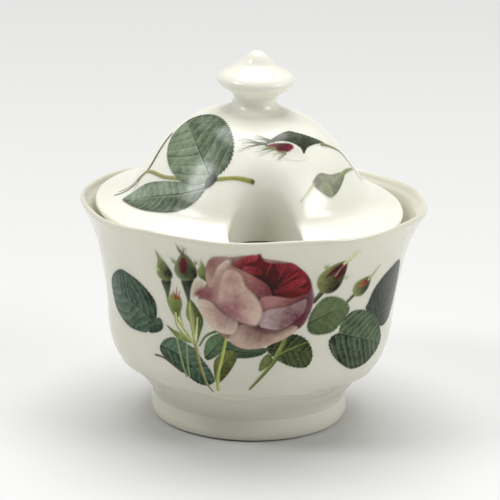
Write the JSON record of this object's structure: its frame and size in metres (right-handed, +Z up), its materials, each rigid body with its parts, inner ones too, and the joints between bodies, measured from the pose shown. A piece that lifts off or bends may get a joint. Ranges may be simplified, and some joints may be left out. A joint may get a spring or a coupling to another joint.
{
  "type": "covered sugar bowl",
  "caption": "Flared round footed bowl with a soft scalloped ledge and a loose domed lid that has a turned knob and a U-shaped spoon notch in its brim.",
  "frame": {"origin": "on the table, at the centre of the foot ring", "axes": "+Z up; -Y is the front, where the spoon notch is; +X is the right-hand side seen from the front"},
  "size_m": [0.1158, 0.1158, 0.1243],
  "materials": {
    "body_china": "clear gloss glaze over cream-white bone china",
    "foot_china": "clear gloss glaze, wiped bare where it stands",
    "lid_china": "clear gloss glaze over cream-white bone china",
    "knob_china": "clear gloss glaze over cream-white bone china",
    "flower_print": "rose and leaf transfer print fired into the glaze"
  },
  "bodies": {
    "bowl": {"bowl_body": "body_china", "foot_ring": "foot_china"},
    "lid": {"lid_shell": "lid_china", "lid_knob": "knob_china"}
  },
  "joints": [
    {"name": "lid_lift", "type": "slide", "parent": "bowl", "child": "lid", "axis": [0, 0, 1], "range_m": [0, 0.06]}
  ]
}
